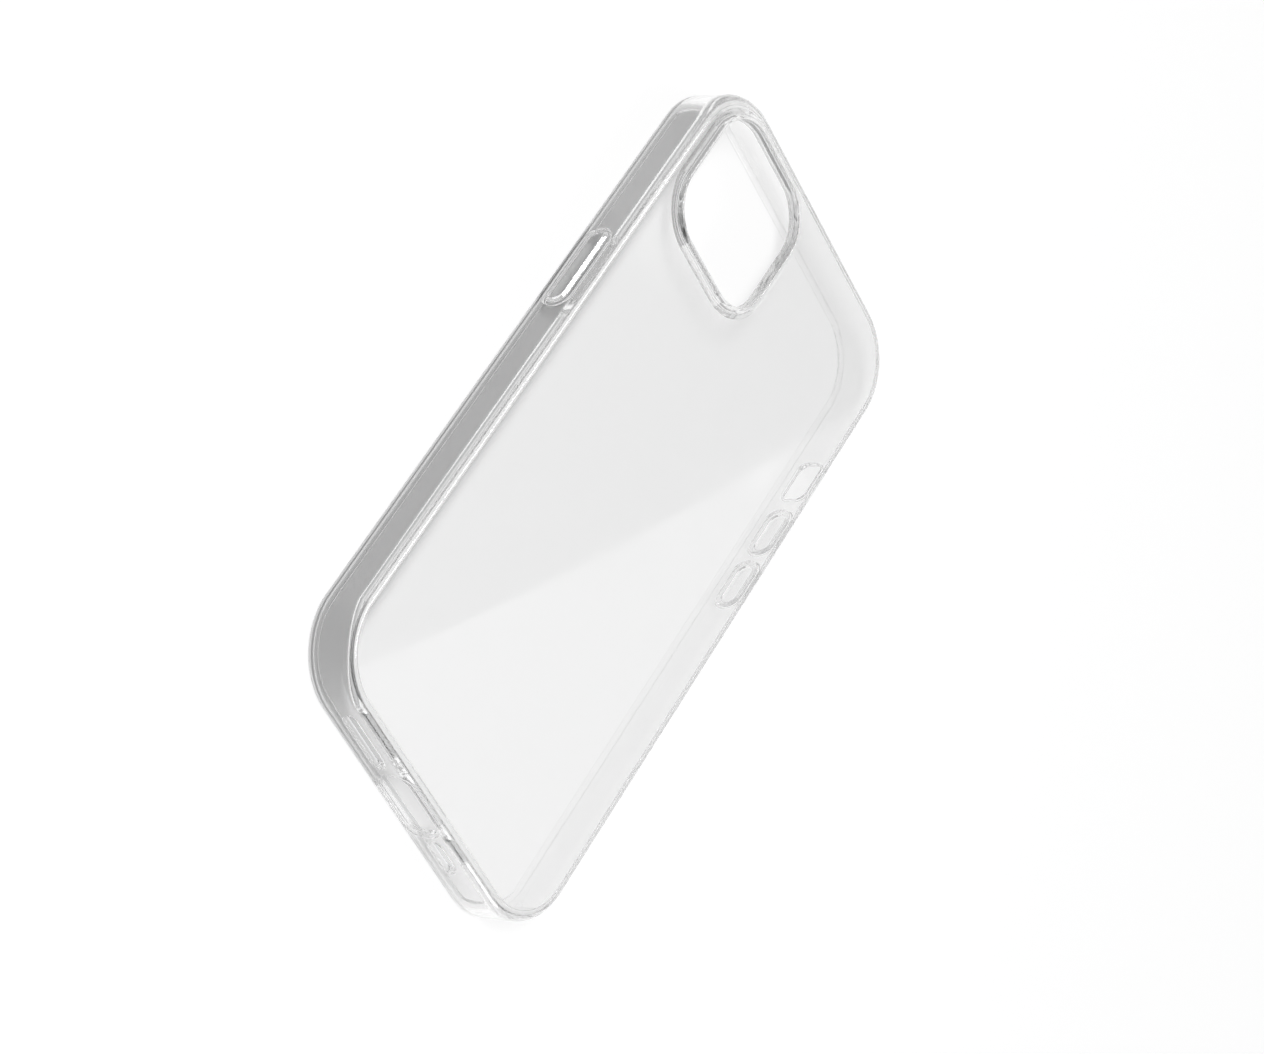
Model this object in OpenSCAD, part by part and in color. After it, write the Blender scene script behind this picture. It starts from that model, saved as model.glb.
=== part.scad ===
// Clear two-shot phone case: a hard back plate in a soft bumper frame, with
// pressed-in covers for the side buttons and a raised guard round the cameras.
// Millimetres. The case lies on its front lip at z = 0 with its back upwards;
// +Y is the camera end and +X is the right side seen from the back.

/* [Phone that it fits] */
// Width of the phone
device_w = 71.5; // [70.5:0.1:73]
// Length of the phone
device_l = 146.7; // [146.2:0.1:150]
// Thickness of the phone, without its camera bump
device_t = 7.65; // [7.4:0.05:8.2]

/* [Shell] */
// Thickness of the side walls
wall_t = 1.3; // [1.2:0.05:1.6]
// Height that the lip stands in front of the screen
lip_h = 0.9; // [0.8:0.05:1.4]
// Distance that the lip reaches in over the screen's edge
lip_reach = 1.4; // [1:0.1:2]
// Thickness of the hard back plate
plate_t = 1.1; // [1:0.05:1.5]
// Height that the rim stands proud of the back plate
rim_step = 0.15; // [0.05:0.05:0.3]
// Radius of the outer corners, seen from the back
corner_r = 13.5; // [12:0.5:14]
// Rounding of the outer edge at the front lip
front_edge_r = 1.0; // [0.5:0.1:1.2]
// Rounding of the outer edge at the back
back_edge_r = 2.0; // [1.8:0.1:2.2]

/* [Camera opening] */
// Side of the square opening
camera_side = 29.0; // [28:0.1:29.4]
// Radius of the opening's corners
camera_r = 8.5; // [7.8:0.1:9.5]
// Distance from the case's centre line to the opening's centre
camera_x = 17.6; // [17:0.1:17.8]
// Distance from the case's middle to the opening's centre
camera_y = 55.6; // [54.5:0.1:55.6]
// Height that the guard stands above the back plate
guard_h = 1.35; // [1:0.05:2]
// Width of the guard's foot
guard_w = 2.2; // [2:0.1:2.3]

/* [Side buttons] */
// Length of the power button's cover
power_len = 18.8; // [14:0.1:20]
// Distance of the power button above the case's middle
power_y = 19.6; // [18:0.1:22]
// Length of each volume button's cover
volume_len = 10.8; // [9:0.1:11]
// Distance of the upper volume button above the case's middle
volume_up_y = 27.5; // [27.2:0.1:28]
// Distance of the lower volume button above the case's middle
volume_down_y = 14.0; // [13:0.1:14.2]
// Width of every cover
cap_w = 4.7; // [4:0.1:5]
// Height that the covers stand out from the wall
cap_proud = 0.45; // [0.3:0.05:0.6]
// Travel of the covers
press_travel = 0.3; // [0.2:0.05:0.3]

/* [Cut-outs] */
// Length of the mute switch's cut-out
mute_len = 9.6; // [8:0.1:10]
// Height of the mute switch's cut-out
mute_h = 5.2; // [4.8:0.1:5.6]
// Distance of the mute switch above the case's middle
mute_y = 41.0; // [40.8:0.1:42]
// Length of the charging port's cut-out
port_len = 14.0; // [12:0.1:14.5]
// Height of the charging port's cut-out
port_h = 6.4; // [5:0.1:6.4]
// Length of the loudspeaker's slot
speaker_len = 12.2; // [10:0.1:13]
// Distance of the loudspeaker's slot from the centre line
speaker_x = 15.6; // [15.3:0.1:16]
// Length of the microphone's slot
mic_len = 7.4; // [5:0.1:8]
// Distance of the microphone's slot from the centre line
mic_x = 12.9; // [12.8:0.1:14]
// Width of both slots
slot_w = 2.4; // [1.8:0.1:2.6]

/* [Hidden] */
$fn = 96;

// Outer size, and the levels from the lip up
case_w = device_w + 2 * wall_t;
case_l = device_l + 2 * wall_t;
pocket_r = corner_r - wall_t;
pocket_top = lip_h + device_t;
plate_top = pocket_top + plate_t;
case_t = plate_top + rim_step;
mid_z = lip_h + device_t / 2;
over = 1;

// Stepped joint: the plate's tongue lies under the frame's inward edge
tongue_t = 0.5;
tongue_top = pocket_top + tongue_t;
plate_w = case_w - 2 * back_edge_r;
plate_l = case_l - 2 * back_edge_r;
plate_r = corner_r - back_edge_r;
lip_bevel = 0.5;

// Button: levels are counted outwards from the inside of the wall
recess_d = 0.4;
flange_recess_d = 0.45;
flange_t = 0.35;
web_gap = 0.03;
press_gap = 0.05;
flange_half = 2.6;
stem_half = 1.6;
stem_gap = 0.12;
cap_edge_r = 0.4;
cap_half = cap_w / 2;
groove_w = 0.65;
groove_half = cap_half + groove_w;
web_outer = wall_t - recess_d;
cap_base = web_outer + press_travel + press_gap;
cap_top = wall_t + cap_proud;
flange_outer = flange_recess_d - web_gap;
flange_inner = flange_outer - flange_t;

// Corner radii of the cut-outs, and the shallow lead-in round each
port_r = 2.4;
mute_r = 1.8;
slot_flat = 0.02;
slot_r = (slot_w - slot_flat) / 2;
lead_in_d = 0.35;
port_lead_in = 0.7;
slot_lead_in = 0.3;

// Camera guard: levels are counted outwards from its corner centres
sleeve_t = 0.6;
bead_r = 0.45;
foot_t = 0.1;
foot_recess_d = 0.2;
guard_top = plate_top + guard_h;
guard_side = camera_side + 2 * guard_w;
guard_foot = camera_r + guard_w;
foot_floor = plate_top - foot_recess_d;
bead = [camera_r + bead_r, guard_top - bead_r];
toe = [guard_foot, plate_top + foot_t];
// Point where the straight skirt from the toe touches the bead
skirt = bead - toe;
skirt_angle = atan2(skirt[1], skirt[0]) - asin(bead_r / norm(skirt));
skirt_run = sqrt(norm(skirt) * norm(skirt) - bead_r * bead_r);
bead_touch = toe + skirt_run * [cos(skirt_angle), sin(skirt_angle)];

// Rounded rectangle with true arcs
module round_rect(w, l, r) {
    square([w - 2 * r, l], center = true);
    square([w, l - 2 * r], center = true);
    for (sx = [-1, 1], sy = [-1, 1])
        translate([sx * (w / 2 - r), sy * (l / 2 - r)])
            circle(r);
}

// Sweeps a section round a rounded rectangle. The section's x runs outwards
// from the corner centres, and its y is the height.
module sweep_round_rect(w, l, r) {
    for (side = [0, 1])
        mirror([side, 0, 0])
            translate([w / 2 - r, 0, 0])
                rotate([90, 0, 0])
                    linear_extrude(l - 2 * r, center = true)
                        children();
    for (end = [0, 1])
        mirror([0, end, 0])
            rotate([0, 0, 90])
                translate([l / 2 - r, 0, 0])
                    rotate([90, 0, 0])
                        linear_extrude(w - 2 * r, center = true)
                            children();
    for (side = [0, 1], end = [0, 1])
        mirror([side, 0, 0])
            mirror([0, end, 0])
                translate([w / 2 - r, l / 2 - r, 0])
                    rotate_extrude(angle = 90)
                        children();
}

// Sweeps a half section round a capsule that runs along Y. The section's x is
// the half width and its y is the height.
module sweep_capsule(run) {
    rotate([90, 0, 0])
        linear_extrude(run, center = true) {
            children();
            mirror([1, 0]) children();
        }
    for (end = [0, 1])
        mirror([0, end, 0])
            translate([0, run / 2, 0])
                rotate_extrude(angle = 180)
                    children();
}

// Stands a shape on the inside of a long wall, with its height outwards
module on_side_wall(side, y) {
    translate([side * device_w / 2, y, mid_z])
        rotate([0, side * 90, 0])
            children();
}

// Corner piece that a rounding leaves over, with its sharp corner at the origin
module fillet_waste(r) {
    difference() {
        translate([-r, -r])
            square(r + over);
        translate([-r, -r])
            circle(r);
    }
}

// Wall of the frame: lip, side wall and the inward edge over the plate
module frame_section() {
    lip_in = pocket_r - lip_reach;
    difference() {
        translate([lip_in, 0])
            square([corner_r - lip_in, case_t]);
        translate([lip_in - over, lip_h])
            square([pocket_r - lip_in + over, tongue_top - lip_h]);
        translate([lip_in - over, tongue_top - over])
            square([plate_r - lip_in + over, case_t - tongue_top + 2 * over]);
        translate([corner_r, case_t])
            fillet_waste(back_edge_r);
        translate([corner_r, 0])
            mirror([0, 1])
                fillet_waste(front_edge_r);
        polygon([[lip_in - over, -over],
                 [lip_in + lip_bevel + over, -over],
                 [lip_in - over, lip_bevel + over]]);
    }
}

// Half section of the hole that a button cover is pressed into
module button_hole_section() {
    translate([0, web_outer])
        square([groove_half, recess_d + over]);
    square([stem_half + stem_gap, wall_t]);
    translate([0, -over])
        square([flange_half + stem_gap, flange_recess_d + over]);
}

// Half section of a button cover: retaining flange, stem and rounded cap
module button_section() {
    translate([0, flange_inner])
        square([flange_half, flange_t]);
    translate([0, flange_inner])
        square([stem_half, cap_top - flange_inner]);
    difference() {
        translate([0, cap_base])
            square([cap_half, cap_top - cap_base]);
        translate([cap_half, cap_top])
            fillet_waste(cap_edge_r);
    }
}

// Hole for a button cover of the given length
module button_hole(side, y, len) {
    on_side_wall(side, y)
        sweep_capsule(len - cap_w)
            button_hole_section();
}

// Button cover of the given length, pushed out to its rest position
module button_cover(side, y, len) {
    on_side_wall(side, y)
        sweep_capsule(len - cap_w)
            button_section();
}

// Cut-out through a wall, wider by its lead-in at the wall's outer face.
// The local x is the height of the cut-out and the local y is its length.
module cut_out(h, len, r, lead_in) {
    translate([0, 0, -over])
        linear_extrude(wall_t + 2 * over)
            round_rect(h, len, r);
    translate([0, 0, wall_t - lead_in_d])
        linear_extrude(lead_in_d + over)
            round_rect(h + 2 * lead_in, len + 2 * lead_in, r + lead_in);
}

// Stands a cut-out on the inside of the bottom wall, with its height outwards
module on_bottom_wall(x) {
    translate([x, -device_l / 2, mid_z])
        rotate([0, 0, -90])
            rotate([0, 90, 0])
                children();
}

module bumper_frame() {
    color("gainsboro")
        difference() {
            sweep_round_rect(case_w, case_l, corner_r)
                frame_section();
            button_hole(-1, power_y, power_len);
            button_hole(1, volume_up_y, volume_len);
            button_hole(1, volume_down_y, volume_len);
            on_side_wall(1, mute_y)
                cut_out(mute_h, mute_len, mute_r, slot_lead_in);
            on_bottom_wall(0)
                cut_out(port_h, port_len, port_r, port_lead_in);
            on_bottom_wall(-speaker_x)
                cut_out(slot_w, speaker_len, slot_r, slot_lead_in);
            on_bottom_wall(mic_x)
                cut_out(slot_w, mic_len, slot_r, slot_lead_in);
        }
}

module back_plate() {
    opening = camera_side + 2 * sleeve_t;
    color("whitesmoke")
        difference() {
            union() {
                translate([0, 0, pocket_top])
                    linear_extrude(tongue_t)
                        round_rect(device_w, device_l, pocket_r);
                translate([0, 0, pocket_top])
                    linear_extrude(plate_t)
                        round_rect(plate_w, plate_l, plate_r);
            }
            translate([-camera_x, camera_y, pocket_top - over])
                linear_extrude(plate_t + 2 * over)
                    round_rect(opening, opening, camera_r + sleeve_t);
            translate([-camera_x, camera_y, foot_floor])
                linear_extrude(plate_t)
                    round_rect(guard_side, guard_side, guard_foot);
        }
}

// Section of the guard: a sleeve through the plate, a foot let into the plate,
// a rounded bead on top and a skirt that slopes down to the foot
module guard_section() {
    translate([camera_r, pocket_top])
        square([sleeve_t, plate_t]);
    polygon([[camera_r, foot_floor],
             [guard_foot, foot_floor],
             toe,
             bead_touch,
             bead,
             [camera_r, bead[1]]]);
    translate(bead)
        circle(bead_r);
}

module camera_guard() {
    color("lightgray")
        translate([-camera_x, camera_y, 0])
            sweep_round_rect(camera_side, camera_side, camera_r)
                guard_section();
}

module power_button() {
    color("silver")
        button_cover(-1, power_y, power_len);
}

module volume_up_button() {
    color("silver")
        button_cover(1, volume_up_y, volume_len);
}

module volume_down_button() {
    color("silver")
        button_cover(1, volume_down_y, volume_len);
}

bumper_frame();
back_plate();
camera_guard();
power_button();
volume_up_button();
volume_down_button();
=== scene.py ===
"""Looks of a clear two-shot phone case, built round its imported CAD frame.

The case lies on its front lip with its back upwards. Each piece is rebuilt as
a finely filleted mesh in the place of its CAD solid and given clear plastic.
"""

import math

import bmesh
import bpy
from mathutils import Matrix, Quaternion, Vector


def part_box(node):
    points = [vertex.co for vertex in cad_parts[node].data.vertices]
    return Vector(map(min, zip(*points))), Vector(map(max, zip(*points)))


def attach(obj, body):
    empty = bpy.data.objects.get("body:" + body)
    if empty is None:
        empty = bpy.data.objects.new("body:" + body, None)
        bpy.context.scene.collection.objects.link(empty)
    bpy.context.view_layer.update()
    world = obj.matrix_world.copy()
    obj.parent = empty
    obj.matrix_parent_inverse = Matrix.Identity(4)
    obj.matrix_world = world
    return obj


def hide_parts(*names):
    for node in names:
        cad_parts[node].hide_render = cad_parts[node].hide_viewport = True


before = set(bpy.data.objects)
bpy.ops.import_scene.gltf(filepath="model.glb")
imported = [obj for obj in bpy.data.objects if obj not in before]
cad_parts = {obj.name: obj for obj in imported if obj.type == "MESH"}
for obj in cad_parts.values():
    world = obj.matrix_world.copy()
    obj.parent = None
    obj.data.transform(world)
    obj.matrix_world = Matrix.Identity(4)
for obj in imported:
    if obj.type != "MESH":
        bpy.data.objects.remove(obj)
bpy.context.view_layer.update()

MM = 0.001

# Sizes read off the CAD solids
frame_lo, frame_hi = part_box("bumper_frame")
plate_lo, plate_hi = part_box("back_plate")
guard_lo, guard_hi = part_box("camera_guard")

CASE_W = frame_hi.x - frame_lo.x
CASE_L = frame_hi.y - frame_lo.y
CASE_T = frame_hi.z - frame_lo.z
POCKET_W = plate_hi.x - plate_lo.x
POCKET_L = plate_hi.y - plate_lo.y
POCKET_TOP = plate_lo.z
PLATE_TOP = plate_hi.z
GUARD_SIDE = guard_hi.x - guard_lo.x
GUARD_TOP = guard_hi.z
GUARD_MID = (guard_lo + guard_hi) / 2

# Frame and plate sizes that the CAD solids' boxes don't show
WALL = (CASE_W - POCKET_W) / 2
CORNER_R = 13.5 * MM
BACK_EDGE_R = 2.0 * MM
FRONT_EDGE_R = 1.0 * MM
LIP_H = 0.9 * MM
LIP_REACH = 1.4 * MM
LIP_BEVEL = 0.5 * MM
TONGUE_TOP = POCKET_TOP + 0.5 * MM
MID_Z = (LIP_H + POCKET_TOP) / 2

# Camera guard
GUARD_W = 2.2 * MM
SLEEVE = 0.6 * MM
FOOT_FLOOR = PLATE_TOP - 0.2 * MM
FOOT_T = 0.1 * MM
BEAD_R = 0.45 * MM
CAMERA_R = 8.5 * MM
CAMERA_SIDE = GUARD_SIDE - 2 * GUARD_W

# Button covers and their holes
CAP_HALF = 2.35 * MM
CAP_BEVEL_W = 0.8 * MM
CAP_BEVEL_H = 0.4 * MM
CAP_CORE = 0.4 * MM
CAP_ROOM = 0.35 * MM
STEM_HALF = 1.6 * MM
STEM_GAP = 0.12 * MM
FLANGE_HALF = 2.6 * MM
FLANGE_T = 0.35 * MM
FLANGE_RECESS = 0.45 * MM
FLANGE_ROOM = 0.03 * MM
GROOVE_HALF = 3.0 * MM
GROOVE_D = 0.4 * MM
GROOVE_BRIM = 0.2 * MM

# Other cut-outs, each as its length, height and corner radius, and their places
PORT = (14.0 * MM, 6.4 * MM, 2.4 * MM)
MUTE = (9.6 * MM, 5.2 * MM, 1.8 * MM)
SPEAKER = (12.2 * MM, 2.4 * MM, 1.19 * MM)
MIC = (7.4 * MM, 2.4 * MM, 1.19 * MM)
MUTE_Y = 41.0 * MM
SPEAKER_X = -15.6 * MM
MIC_X = 12.9 * MM
LEAD_IN = 0.3 * MM
PORT_LEAD_IN = 0.7 * MM
LEAD_DEPTH = 0.35 * MM

# Small roundings and flares of the visual pieces
LIP_EDGE_R = 0.15 * MM
POCKET_EDGE_R = 0.2 * MM
PLATE_EDGE_R = 0.15 * MM
TONGUE_EDGE_R = 0.1 * MM
SLEEVE_EDGE_R = 0.1 * MM
SEAT_R = 0.05 * MM
SEAM_R = 0.015 * MM
SEAM_ROOM = 0.02 * MM
WEB_R = 0.04 * MM
GROOVE_R = 0.2 * MM
MOUTH_SEAT_R = 0.04 * MM
MOUTH_EDGE_R = 0.06 * MM
FOOT_EDGE_R = 0.03 * MM
TOE_R = 0.08 * MM
FLANGE_EDGE_R = 0.08 * MM
CAP_BASE_R = 0.06 * MM
CAP_SIDE_R = 0.1 * MM
CAP_TOP_R = 0.35 * MM
HOLE_FLARE = 0.12 * MM

# Building aids
BOND = 0.02 * MM  # the plate's overlap with its neighbours, so that no gap glints
OVER = 1.0 * MM  # cutters reach this far past a wall
TILT = 0.002 * MM  # keeps the start of a flare just off the wall's own face
HAIR = 0.001 * MM  # keeps half-round ends from meeting in a point
MERGE = 0.0001 * MM  # vertices closer than this are one
FILLED = 0.98  # a flare's rounding takes this much of its edge

# Steps in a quarter turn of each outline, and the angles that count as an edge
CORNER_STEPS = 40
GUARD_STEPS = 32
CAP_STEPS = 30
BUTTON_HOLE_STEPS = 24
SLOT_STEPS = 12
STRAIGHT = math.radians(179)
SHARP = math.radians(38)
AREA_WEIGHT = 100


# ---- Outlines and sweeps ---------------------------------------------------

def filleted(corners, steps=5):
    """A list of (x, z) points from corners (x, z, radius), each rounded."""
    points = []
    count = len(corners)
    for i, (x, z, radius) in enumerate(corners):
        here = Vector((x, z))
        before = Vector(corners[i - 1][:2]) - here
        after = Vector(corners[(i + 1) % count][:2]) - here
        angle = before.angle(after)
        if radius <= 0 or angle > STRAIGHT:
            points.append((x, z))
            continue
        reach = radius / math.tan(angle / 2)
        start = here + before.normalized() * reach
        middle = here + (before.normalized() + after.normalized()).normalized() * (
            radius / math.sin(angle / 2))
        first = start - middle
        turn = math.pi - angle
        if before.x * after.y - before.y * after.x > 0:
            turn = -turn
        for k in range(steps + 1):
            a = turn * k / steps
            points.append((middle.x + first.x * math.cos(a) - first.y * math.sin(a),
                           middle.y + first.x * math.sin(a) + first.y * math.cos(a)))
    return points


def rectangle_stations(width, length, radius, steps):
    """Stations (x, y, angle) round a rounded rectangle, counter-clockwise."""
    stations = []
    for quarter, (sx, sy) in enumerate(((1, 1), (-1, 1), (-1, -1), (1, -1))):
        for k in range(steps + 1):
            stations.append((sx * (width / 2 - radius), sy * (length / 2 - radius),
                             math.radians(90) * (quarter + k / steps)))
    return stations


def case_stations():
    """Stations round the case's outline."""
    return rectangle_stations(CASE_W, CASE_L, CORNER_R, CORNER_STEPS)


def camera_stations():
    """Stations round the camera opening, at its place in the plate."""
    return [(x + GUARD_MID.x, y + GUARD_MID.y, a) for x, y, a in
            rectangle_stations(CAMERA_SIDE, CAMERA_SIDE, CAMERA_R, GUARD_STEPS)]


def button_stations(length, steps):
    """Stations round a button cover, whose ends are full half circles."""
    return rectangle_stations(2 * CAP_HALF, length, CAP_HALF - HAIR, steps)


def sweep(bm, stations, profile, closed=True):
    """Sweeps a profile of (outward, height) points round the stations."""
    rings = []
    for out, height in profile:
        rings.append([bm.verts.new((x + out * math.cos(a), y + out * math.sin(a), height))
                      for x, y, a in stations])
    following = rings[1:] + rings[:1] if closed else rings[1:]
    for low, high in zip(rings, following):
        for k in range(len(stations)):
            n = (k + 1) % len(stations)
            bm.faces.new([low[k], low[n], high[n], high[k]])
    return rings


def linked(name, mesh):
    """A new object of the mesh, in the scene."""
    piece = bpy.data.objects.new(name, mesh)
    bpy.context.scene.collection.objects.link(piece)
    return piece


def mesh_of(bm, name):
    """A mesh made of a bmesh, which is freed."""
    mesh = bpy.data.meshes.new(name)
    bm.to_mesh(mesh)
    bm.free()
    return mesh


def finished(bm, name):
    """Makes an object of a bmesh, smooth apart from its sharp edges."""
    bmesh.ops.remove_doubles(bm, verts=bm.verts, dist=MERGE)
    bmesh.ops.recalc_face_normals(bm, faces=bm.faces)
    piece = linked(name, mesh_of(bm, name))
    smooth(piece)
    return piece


def smooth(piece):
    """Smooth shading with flat faces kept flat."""
    mesh = piece.data
    mesh.polygons.foreach_set("use_smooth", [True] * len(mesh.polygons))
    mesh.set_sharp_from_angle(angle=SHARP)
    weighted = piece.modifiers.new("weighted normals", "WEIGHTED_NORMAL")
    weighted.keep_sharp = True
    weighted.weight = AREA_WEIGHT


# ---- Bumper frame ----------------------------------------------------------

def frame_profile():
    """Section of the frame's wall, outward from the corner centres."""
    pocket = CORNER_R - WALL
    lip = pocket - LIP_REACH
    rim = CORNER_R - BACK_EDGE_R
    return filleted([
        (lip + LIP_BEVEL, 0, LIP_EDGE_R),
        (CORNER_R, 0, FRONT_EDGE_R),
        (CORNER_R, CASE_T, BACK_EDGE_R - SEAM_ROOM),
        (rim, CASE_T, SEAM_R),
        (rim, TONGUE_TOP, SEAT_R),
        (pocket, TONGUE_TOP, 0),
        (pocket, LIP_H, POCKET_EDGE_R),
        (lip, LIP_H, LIP_EDGE_R),
        (lip, LIP_BEVEL, LIP_EDGE_R),
    ], steps=8)


def on_side_wall(side, y):
    """Matrix that stands a shape on a side wall: local z outward, y along."""
    return Matrix(((0, 0, side, side * POCKET_W / 2),
                   (0, 1, 0, y),
                   (-1, 0, 0, MID_Z),
                   (0, 0, 0, 1)))


def on_bottom_wall(x):
    """Matrix that stands a shape on the bottom wall: local z outward, y along."""
    return Matrix(((0, 1, 0, x),
                   (0, 0, -1, -POCKET_L / 2),
                   (-1, 0, 0, MID_Z),
                   (0, 0, 0, 1)))


def add_capped(bm, stations, profile, place):
    """Adds a closed shape with a flat cap at each end of its profile."""
    first = set(bm.verts)
    rings = sweep(bm, stations, profile, closed=False)
    bm.faces.new(rings[0])
    bm.faces.new(rings[-1])
    new = [v for v in bm.verts if v not in first]
    bmesh.ops.transform(bm, matrix=place, verts=new)


def hole_profile(half, lead_in):
    """Profile of a cut-out, flared where it meets the wall's two faces."""
    step = WALL - LEAD_DEPTH
    outer = half + lead_in
    return filleted([
        (half + HOLE_FLARE, -OVER, 0),
        (half + HOLE_FLARE, -TILT, 0),
        (half, 0, HOLE_FLARE * FILLED),
        (half, step, HOLE_FLARE),
        (outer, step, HOLE_FLARE),
        (outer, WALL, HOLE_FLARE * FILLED),
        (outer + HOLE_FLARE, WALL + TILT, 0),
        (outer + HOLE_FLARE, WALL + OVER, 0),
    ])


def button_hole_profile():
    """Profile of a button's hole: flange recess, web and outer groove."""
    flange = FLANGE_HALF + STEM_GAP
    stem = STEM_HALF + STEM_GAP
    groove_floor = WALL - GROOVE_D
    return filleted([
        (flange + HOLE_FLARE, -OVER, 0),
        (flange + HOLE_FLARE, -TILT, 0),
        (flange, 0, HOLE_FLARE * FILLED),
        (flange, FLANGE_RECESS, HOLE_FLARE),
        (stem, FLANGE_RECESS, WEB_R),
        (stem, groove_floor, WEB_R),
        (GROOVE_HALF, groove_floor, GROOVE_R),
        (GROOVE_HALF, WALL, GROOVE_BRIM * FILLED),
        (GROOVE_HALF + GROOVE_BRIM, WALL + TILT, 0),
        (GROOVE_HALF + GROOVE_BRIM, WALL + OVER, 0),
    ])


def button_places():
    """Each button's side, place along it, cover length and reach from the middle."""
    places = {}
    for node in ("power_button", "volume_up_button", "volume_down_button"):
        lo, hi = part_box(node)
        side = 1 if lo.x > 0 else -1
        length = hi.y - lo.y - 2 * (FLANGE_HALF - CAP_HALF)
        places[node] = (side, (lo.y + hi.y) / 2, length, max(abs(lo.x), abs(hi.x)))
    return places


def make_cutter():
    """All the cut-outs of the frame, as one object."""
    cut = bmesh.new()
    for side, y, length, _ in button_places().values():
        add_capped(cut, button_stations(length, BUTTON_HOLE_STEPS), button_hole_profile(),
                   on_side_wall(side, y))
    for (length, height, radius), lead_in, place in (
            (MUTE, LEAD_IN, on_side_wall(1, MUTE_Y)),
            (PORT, PORT_LEAD_IN, on_bottom_wall(0)),
            (SPEAKER, LEAD_IN, on_bottom_wall(SPEAKER_X)),
            (MIC, LEAD_IN, on_bottom_wall(MIC_X))):
        stations = rectangle_stations(height, length, radius, SLOT_STEPS)
        add_capped(cut, stations, hole_profile(radius, lead_in), place)
    return finished(cut, "cutter")


def make_frame():
    """The frame: its wall swept round the case, less all the cut-outs."""
    bm = bmesh.new()
    sweep(bm, case_stations(), frame_profile())
    body = finished(bm, "clear_bumper_frame")
    cutter = make_cutter()
    boolean = body.modifiers.new("holes", "BOOLEAN")
    boolean.operation = "DIFFERENCE"
    boolean.solver = "EXACT"
    boolean.object = cutter
    bpy.context.view_layer.update()
    depsgraph = bpy.context.evaluated_depsgraph_get()
    cut_mesh = bpy.data.meshes.new_from_object(body.evaluated_get(depsgraph))
    body.modifiers.clear()
    body.data = cut_mesh
    bpy.data.objects.remove(cutter)
    smooth(body)
    return body


# ---- Back plate ------------------------------------------------------------

def make_plate():
    """The plate. Its profiles' end points only aim the end roundings."""
    tongue = CORNER_R - WALL + BOND
    panel = CORNER_R - BACK_EDGE_R + BOND
    edge = filleted([
        (panel - OVER, POCKET_TOP, 0),
        (tongue, POCKET_TOP, TONGUE_EDGE_R),
        (tongue, TONGUE_TOP + BOND, SEAT_R),
        (panel, TONGUE_TOP + BOND, SEAT_R),
        (panel, PLATE_TOP, PLATE_EDGE_R),
        (panel - OVER, PLATE_TOP, 0),
    ], steps=6)[1:-1]
    sleeve = CAMERA_R + SLEEVE - BOND
    foot = CAMERA_R + GUARD_W - BOND
    mouth = filleted([
        (foot + OVER, POCKET_TOP, 0),
        (sleeve, POCKET_TOP, SEAT_R),
        (sleeve, FOOT_FLOOR + BOND, SEAT_R),
        (foot, FOOT_FLOOR + BOND, MOUTH_SEAT_R),
        (foot, PLATE_TOP, MOUTH_EDGE_R),
        (foot + OVER, PLATE_TOP, 0),
    ], steps=6)[1:-1]
    bm = bmesh.new()
    outer = sweep(bm, case_stations(), edge, closed=False)
    inner = sweep(bm, camera_stations(), mouth, closed=False)
    for index in (0, -1):
        wanted = set(outer[index]), set(inner[index])
        edges = [e for e in bm.edges
                 if any(e.verts[0] in w and e.verts[1] in w for w in wanted)
                 and len(e.link_faces) == 1]
        bmesh.ops.triangle_fill(bm, edges=edges, use_beauty=True)
    return finished(bm, "clear_back_plate")


# ---- Camera guard ----------------------------------------------------------

def make_guard():
    """The guard: sleeve, let-in foot and a flank that rises to a round bead."""
    sleeve = CAMERA_R + SLEEVE
    foot = CAMERA_R + GUARD_W
    shoulder = CAMERA_R + 2.15 * BEAD_R
    shoulder_top = GUARD_TOP - 0.35 * BEAD_R
    crest = CAMERA_R + 1.55 * BEAD_R
    profile = filleted([
        (CAMERA_R, POCKET_TOP, SLEEVE_EDGE_R),
        (sleeve, POCKET_TOP, SLEEVE_EDGE_R),
        (sleeve, FOOT_FLOOR, SEAT_R),
        (foot, FOOT_FLOOR, FOOT_EDGE_R),
        (foot, PLATE_TOP + FOOT_T, TOE_R),
        (shoulder, shoulder_top, 2 * BEAD_R),
        (crest, GUARD_TOP, 0.7 * BEAD_R),
        (CAMERA_R, GUARD_TOP, 0.8 * BEAD_R),
    ], steps=8)
    bm = bmesh.new()
    sweep(bm, camera_stations(), profile)
    return finished(bm, "clear_camera_guard")


# ---- Button covers ---------------------------------------------------------

def make_button(node, side, y, length, reach):
    """A button cover: flange inside the wall, stem, and cap in the groove."""
    flange_out = FLANGE_RECESS - FLANGE_ROOM
    flange_in = flange_out - FLANGE_T
    cap_top = reach - POCKET_W / 2
    cap_base = WALL - GROOVE_D + CAP_ROOM
    profile = filleted([
        (CAP_CORE, flange_in, 0),
        (FLANGE_HALF, flange_in, FLANGE_EDGE_R),
        (FLANGE_HALF, flange_out, FLANGE_EDGE_R),
        (STEM_HALF, flange_out, WEB_R),
        (STEM_HALF, cap_base, WEB_R),
        (CAP_HALF, cap_base, CAP_BASE_R),
        (CAP_HALF, cap_top - CAP_BEVEL_H, CAP_SIDE_R),
        (CAP_HALF - CAP_BEVEL_W, cap_top, CAP_TOP_R),
        (CAP_CORE, cap_top, 0),
    ], steps=7)
    bm = bmesh.new()
    add_capped(bm, button_stations(length, CAP_STEPS), profile, on_side_wall(side, y))
    return finished(bm, "clear_" + node)


# ---- Materials -------------------------------------------------------------

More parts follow.
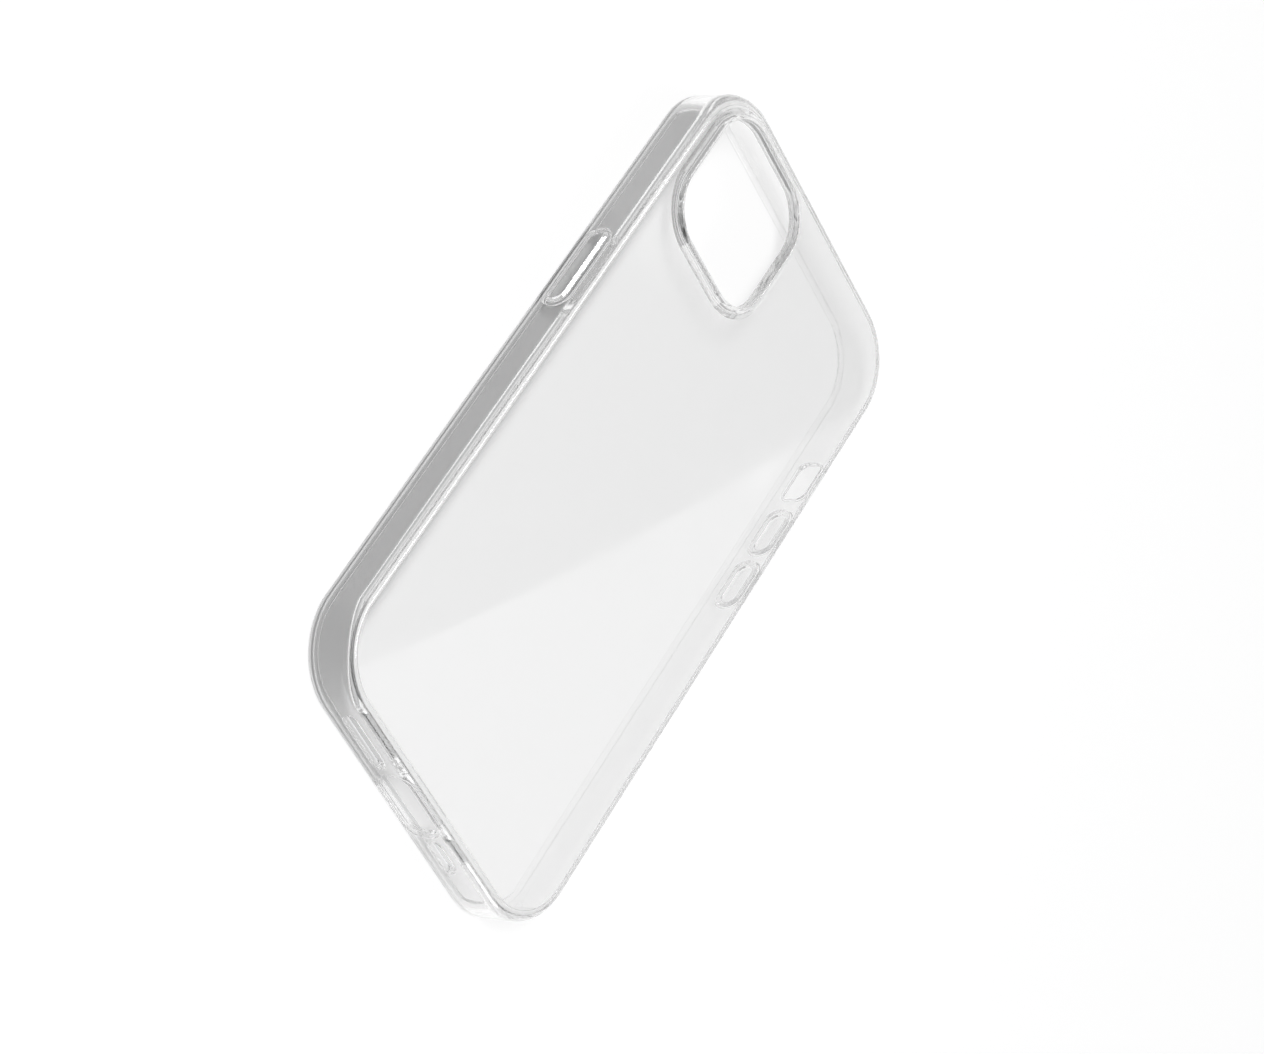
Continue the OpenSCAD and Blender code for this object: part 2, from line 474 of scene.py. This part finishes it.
def node_of(tree, kind, **values):
    """A new node with the given properties."""
    node = tree.nodes.new(kind)
    for key, value in values.items():
        setattr(node, key, value)
    return node


def set_inputs(node, **values):
    """Sets a node's sockets, named with _ for each space."""
    for key, value in values.items():
        node.inputs[key.replace("_", " ")].default_value = value


def clear_plastic(name, grey, ior, lamp_share=1.0):
    """Clear moulded plastic with faint smudges and moulding ripple.

    lamp_share is how much of a lamp's light passes it on the way to the floor.
    """
    material = bpy.data.materials.new(name)
    material.use_nodes = True
    tree = material.node_tree
    tree.nodes.clear()
    link = tree.links.new
    output = node_of(tree, "ShaderNodeOutputMaterial")
    shader = node_of(tree, "ShaderNodeBsdfPrincipled")
    set_inputs(shader, Base_Color=(grey, grey, grey, 1), Transmission_Weight=1.0, IOR=ior)
    coords = node_of(tree, "ShaderNodeTexCoord", name="coordinates")

    # Smudges: slow cloudy change of roughness
    smudge = node_of(tree, "ShaderNodeTexNoise")
    set_inputs(smudge, Scale=45, Detail=4)
    spread = node_of(tree, "ShaderNodeMapRange")
    set_inputs(spread, From_Min=0.35, From_Max=0.75, To_Min=0.02, To_Max=0.05)
    link(coords.outputs["Object"], smudge.inputs["Vector"])
    link(smudge.outputs["Fac"], spread.inputs["Value"])
    link(spread.outputs["Result"], shader.inputs["Roughness"])

    # Moulding ripple: a very shallow wave on every face
    wave = node_of(tree, "ShaderNodeTexNoise")
    set_inputs(wave, Scale=120, Detail=1)
    bump = node_of(tree, "ShaderNodeBump")
    set_inputs(bump, Strength=0.03, Distance=0.02 * MM)
    link(coords.outputs["Object"], wave.inputs["Vector"])
    link(wave.outputs["Fac"], bump.inputs["Height"])
    link(bump.outputs["Normal"], shader.inputs["Normal"])

    # Lamps shine through the thin plastic instead of casting a hard shadow
    path = node_of(tree, "ShaderNodeLightPath")
    open_to_lamps = node_of(tree, "ShaderNodeBsdfTransparent", name="open to lamps")
    set_inputs(open_to_lamps, Color=(lamp_share, lamp_share, lamp_share, 1))
    mix = node_of(tree, "ShaderNodeMixShader")
    link(path.outputs["Is Shadow Ray"], mix.inputs["Fac"])
    link(shader.outputs["BSDF"], mix.inputs[1])
    link(open_to_lamps.outputs["BSDF"], mix.inputs[2])
    link(mix.outputs["Shader"], output.inputs["Surface"])
    return material


def paint_wall_shade_by_place(material, near, far):
    """Paints shade into the walls' cast shadow by place. The lamp light let through is set
    by position, not by the plastic: least on the left for a painted shadow, and all of it
    in a low band at the lip for painted light.

    near and far are the shares let through on the left and further right. The
    change between them takes the whole width at the bottom end, and only a
    few millimetres at the camera end.
    """
    short_reach = 5 * MM
    lit_band_mid = LIP_H + 0.15 * MM
    lit_band_half = 0.6 * MM
    tree = material.node_tree
    link = tree.links.new
    coords = tree.nodes["coordinates"]
    axes = node_of(tree, "ShaderNodeSeparateXYZ")
    reach = node_of(tree, "ShaderNodeMapRange")
    set_inputs(reach, From_Min=-POCKET_L / 4, From_Max=POCKET_L / 4,
               To_Min=POCKET_W / 2, To_Max=short_reach - POCKET_W / 2)
    # Painted shade: the share of lamp light let through grows from the left wall to the
    # right by position
    side = node_of(tree, "ShaderNodeMapRange")
    set_inputs(side, From_Min=-POCKET_W / 2, To_Min=near, To_Max=far)
    # Painted light: a low band at the lip lets all lamp light through, brightening the
    # floor under it
    lit_band = node_of(tree, "ShaderNodeMath", operation="COMPARE")
    lit_band.inputs[1].default_value = lit_band_mid
    lit_band.inputs[2].default_value = lit_band_half
    height = node_of(tree, "ShaderNodeMapRange")
    set_inputs(height, To_Max=1.0)
    link(coords.outputs["Object"], axes.inputs["Vector"])
    link(axes.outputs["Y"], reach.inputs["Value"])
    link(reach.outputs["Result"], side.inputs["From Max"])
    link(axes.outputs["X"], side.inputs["Value"])
    link(axes.outputs["Z"], lit_band.inputs[0])
    link(lit_band.outputs["Value"], height.inputs["Value"])
    link(side.outputs["Result"], height.inputs["To Min"])
    link(height.outputs["Result"], tree.nodes["open to lamps"].inputs["Color"])


def give(piece, material, body, node):
    """Gives a piece its material, and says what it rides on and stands for."""
    piece.data.materials.clear()
    piece.data.materials.append(material)
    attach(piece, body)
    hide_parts(node)


# ---- Stage -----------------------------------------------------------------

def towards(azimuth, elevation):
    """Unit vector from the case to a viewer at these angles, in degrees."""
    a, e = math.radians(azimuth), math.radians(elevation)
    return Vector((math.sin(a) * math.cos(e), -math.cos(a) * math.cos(e), math.sin(e)))


def make_floor(half_side=6):
    """A plain pale floor, far larger than the case."""
    bm = bmesh.new()
    bmesh.ops.create_grid(bm, x_segments=1, y_segments=1, size=half_side)
    floor = linked("floor", mesh_of(bm, "floor"))
    material = bpy.data.materials.new("pale_floor")
    material.use_nodes = True
    shader = material.node_tree.nodes["Principled BSDF"]
    set_inputs(shader, Base_Color=(0.9, 0.9, 0.9, 1), Roughness=0.9, Specular_IOR_Level=0.1)
    floor.data.materials.append(material)


def softbox(name, azimuth, elevation, distance, width, height, radiance,
            roll=0, seen_in="gloss", lights_only=()):
    """A rectangular lamp facing the case, its brightness given as radiance.

    seen_in is the kind of light it gives, gloss or diffuse. Where lights_only
    lists pieces, it lights no others.
    """
    lamp = bpy.data.lights.new(name, "AREA")
    lamp.shape = "RECTANGLE"
    lamp.size = width
    lamp.size_y = height
    lamp.energy = math.pi * width * height * radiance
    piece = linked(name, lamp)
    back = towards(azimuth, elevation)
    facing = (-back).to_track_quat("-Z", "Y") @ Quaternion((0, 0, 1), math.radians(roll))
    piece.location = back * distance
    piece.rotation_mode = "QUATERNION"
    piece.rotation_quaternion = facing
    piece.visible_diffuse = seen_in == "diffuse"
    piece.visible_glossy = seen_in == "gloss"
    piece.visible_transmission = False
    if lights_only:
        lit = bpy.data.collections.new(name + "_lights_only")
        for other in lights_only:
            lit.objects.link(other)
        piece.light_linking.receiver_collection = lit


def make_gloss_card():
    """A large glowing card with a curved edge, mirrored in half of the plate.

    It faces the case from the side where the plate mirrors the camera's view.
    """
    distance = 1.2
    back = towards(azimuth=134.17, elevation=38.91)
    facing = (-back).to_track_quat("-Z", "Y")
    edge_r = 1.38
    depth = 0.5
    spread = math.radians(18)
    aim = math.radians(-149.5)
    edge_middle = Vector((-6.8, 1.8, 0)) * MM
    centre = edge_middle - edge_r * Vector((math.cos(aim), math.sin(aim), 0))
    bm = bmesh.new()
    steps = 32
    arcs = []
    for radius in (edge_r, edge_r + depth):
        angles = [aim + spread * (2 * k / steps - 1) for k in range(steps + 1)]
        arcs.append([bm.verts.new(back * distance + facing @ (
            centre + radius * Vector((math.cos(a), math.sin(a), 0)))) for a in angles])
    for k in range(steps):
        bm.faces.new([arcs[0][k], arcs[0][k + 1], arcs[1][k + 1], arcs[1][k]])
    card = linked("gloss_card", mesh_of(bm, "gloss_card"))
    material = bpy.data.materials.new("glowing_card")
    material.use_nodes = True
    tree = material.node_tree
    tree.nodes.clear()
    glow = node_of(tree, "ShaderNodeEmission")
    set_inputs(glow, Strength=1.0)
    output = node_of(tree, "ShaderNodeOutputMaterial")
    tree.links.new(glow.outputs["Emission"], output.inputs["Surface"])
    card.data.materials.append(material)


def make_world():
    """Pale studio surroundings, darker towards the horizon."""
    world = bpy.data.worlds.new("studio")
    bpy.context.scene.world = world
    world.use_nodes = True
    world.cycles.sampling_method = "NONE"
    world.cycles_visibility.diffuse = False
    tree = world.node_tree
    background = tree.nodes["Background"]
    set_inputs(background, Color=(1, 1, 1, 1))
    coords = node_of(tree, "ShaderNodeTexCoord")
    axes = node_of(tree, "ShaderNodeSeparateXYZ")
    height = node_of(tree, "ShaderNodeMapRange", interpolation_type="SMOOTHSTEP")
    set_inputs(height, From_Min=0.1, From_Max=0.5, To_Min=0.12, To_Max=0.5)
    tree.links.new(coords.outputs["Generated"], axes.inputs["Vector"])
    tree.links.new(axes.outputs["Z"], height.inputs["Value"])
    tree.links.new(height.outputs["Result"], background.inputs["Strength"])


def make_camera():
    """The camera at the photo's angle, rolled so that the case stands slanted."""
    azimuth = -45.83
    elevation = 38.94
    roll = math.radians(92.12)
    aim = Vector((7.24, -0.38, 4.9)) * MM
    distance = 0.7421
    back = towards(azimuth, elevation)
    level = Vector((math.cos(math.radians(azimuth)), math.sin(math.radians(azimuth)), 0))
    right = Matrix.Rotation(roll, 3, back) @ level
    up = back.cross(right)
    data = bpy.data.cameras.new("camera")
    data.lens = 118.72
    data.sensor_width = 36
    data.clip_start = 0.01
    camera = linked("camera", data)
    turn = Matrix((right, up, back)).transposed().to_4x4()
    camera.matrix_world = Matrix.Translation(aim + back * distance) @ turn
    bpy.context.scene.camera = camera


# ---- Assembly --------------------------------------------------------------

hard = clear_plastic("hard_clear_plastic", grey=0.94, ior=1.58, lamp_share=0.97)
rim = clear_plastic("guard_clear_plastic", grey=0.98, ior=1.5, lamp_share=0.94)
soft = clear_plastic("soft_clear_plastic", grey=0.95, ior=1.5)
# Painted shade and light: the walls' and covers' cast shadow is darkened on the left and
# lifted at the lip by position
paint_wall_shade_by_place(soft, near=0.58, far=0.97)
cover = clear_plastic("button_clear_plastic", grey=0.96, ior=1.5)
paint_wall_shade_by_place(cover, near=0.66, far=0.97)

give(make_frame(), soft, "shell", "bumper_frame")
give(make_plate(), hard, "shell", "back_plate")
give(make_guard(), rim, "shell", "camera_guard")
buttons = []
for node_name, place in button_places().items():
    body_name = node_name.replace("_button", "")
    buttons.append(make_button(node_name, *place))
    give(buttons[-1], cover, body_name, node_name)

make_floor()
make_world()

# The key lights the floor. The other lamps only show as gloss: crest_strip along
# the plate's edge, front_strip along the bottom wall's back edge, and button_glint
# on the button covers' bevels.
softbox("key", azimuth=-60, elevation=48, distance=6.0, width=3.0, height=0.8,
        radiance=73.0, seen_in="diffuse")
softbox("crest_strip", azimuth=153, elevation=62, distance=6.0, width=3.0, height=0.7,
        radiance=12.5, roll=-48)
softbox("button_glint", azimuth=-123, elevation=6.5, distance=3.0, width=2.0, height=1.0,
        radiance=24.0, lights_only=buttons)
softbox("front_strip", azimuth=42, elevation=31, distance=3.0, width=1.5, height=1.5,
        radiance=5.0)

make_gloss_card()
make_camera()

# Light passes many clear faces, and caustics would only add noise
scene = bpy.context.scene
scene.view_settings.view_transform = "Standard"
scene.cycles.max_bounces = 80
scene.cycles.transmission_bounces = 80
scene.cycles.glossy_bounces = 80
scene.cycles.transparent_max_bounces = 24
scene.cycles.diffuse_bounces = 4
scene.cycles.caustics_reflective = False
scene.cycles.caustics_refractive = False
scene.cycles.sample_clamp_indirect = 10.0
